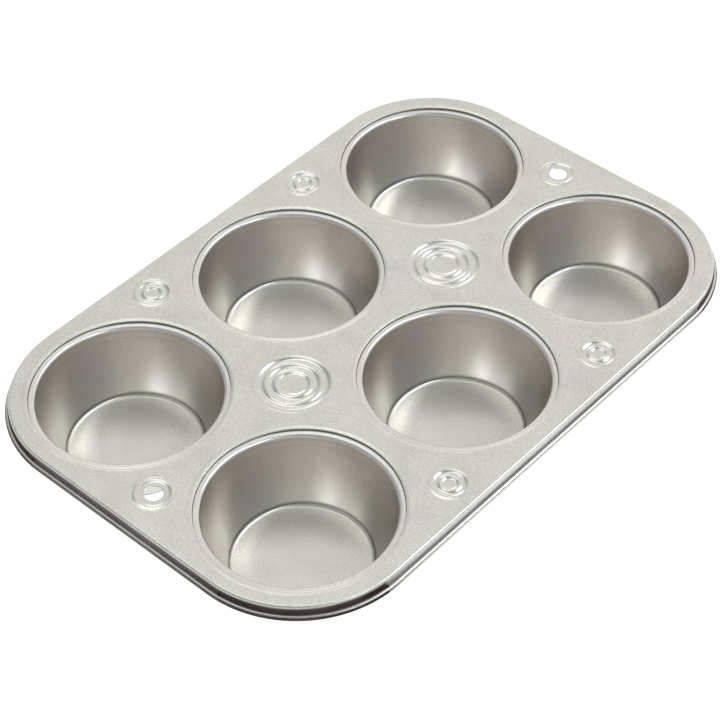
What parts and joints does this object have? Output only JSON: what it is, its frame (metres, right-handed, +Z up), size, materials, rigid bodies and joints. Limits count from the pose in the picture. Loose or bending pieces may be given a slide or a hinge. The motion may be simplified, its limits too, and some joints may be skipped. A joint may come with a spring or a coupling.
{
  "type": "muffin pan",
  "caption": "Rectangular tinplate muffin pan: tapered cups hooked into a flat frame with stamped ring ornaments, hanging holes and an edge rolled over a wire.",
  "frame": {"origin": "on the surface the pan stands on, under the middle of its outline", "axes": "+X along the long side to the right, +Y along the short side to the back, +Z up out of the cups"},
  "size_m": [0.2624, 0.178, 0.0297],
  "materials": {
    "tinplate_frame": "rolled tinplate, satin, lightly dulled by baking",
    "tinplate_cup": "deep-drawn tinplate with fine upright draw marks and a faint brown stain",
    "wire_steel": "plain drawn steel wire"
  },
  "bodies": {
    "root": {"frame_plate": "tinplate_frame", "cup_front_left": "tinplate_cup", "cup_front_middle": "tinplate_cup", "cup_front_right": "tinplate_cup", "cup_back_left": "tinplate_cup", "cup_back_middle": "tinplate_cup", "cup_back_right": "tinplate_cup", "edge_wire": "wire_steel"}
  },
  "joints": []
}
